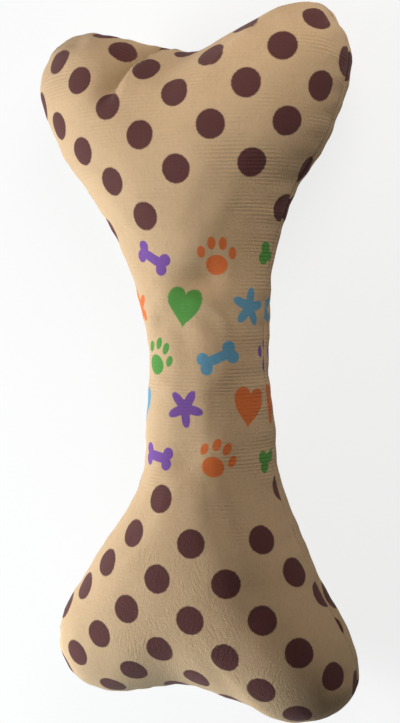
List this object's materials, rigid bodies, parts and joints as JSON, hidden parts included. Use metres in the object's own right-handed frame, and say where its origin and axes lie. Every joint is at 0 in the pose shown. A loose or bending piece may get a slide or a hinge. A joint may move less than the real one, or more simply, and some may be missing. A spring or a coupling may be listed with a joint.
{
  "type": "squeaky plush dog toy",
  "caption": "Stuffed bone-shaped plush dog toy: two dotted panels sewn round the edge over fibre wads and a squeaker that sounds when the shaft is squeezed.",
  "frame": {"origin": "on the resting surface, under the middle of the outline", "axes": "+Y along the bone towards its upper end, +X to the right seen from the front panel, +Z out of the front panel"},
  "size_m": [0.1048, 0.219, 0.0496],
  "materials": {
    "plush": "short-pile tan knit with a dark maroon dot print",
    "thread": "matt polyester sewing thread",
    "fibre": "loose white polyester fibre",
    "soft_plastic": "milky blow-moulded soft plastic",
    "hard_plastic": "plain moulded plastic",
    "reed_film": "thin springy plastic film"
  },
  "bodies": {
    "toy": {"front_panel": "plush", "back_panel": "plush", "machine_seam_thread": "thread", "closing_thread": "thread", "fill_shaft": "fibre", "fill_upper_left_lobe": "fibre", "fill_upper_right_lobe": "fibre", "fill_lower_left_lobe": "fibre", "fill_lower_right_lobe": "fibre", "back_pad": "fibre", "squeaker_bladder": "soft_plastic", "reed_tube": "hard_plastic", "reed_seat": "hard_plastic", "reed_wedge": "hard_plastic"},
    "pressed_wad": {"front_pad": "fibre"},
    "reed_strip": {"reed": "reed_film"}
  },
  "joints": [
    {"name": "squeeze", "type": "slide", "parent": "toy", "child": "pressed_wad", "axis": [0, 0, -1], "range_m": [0, 0.008], "stiffness_N_per_m": 900, "deforming": ["squeaker_bladder"]},
    {"name": "reed_flutter", "type": "hinge", "parent": "toy", "child": "reed_strip", "pos_m": [0.00455, 0.00709, 0.01515], "axis": [0, 1, 0], "range_deg": [-3, 6], "stiffness_Nm_per_rad": 0.002}
  ]
}
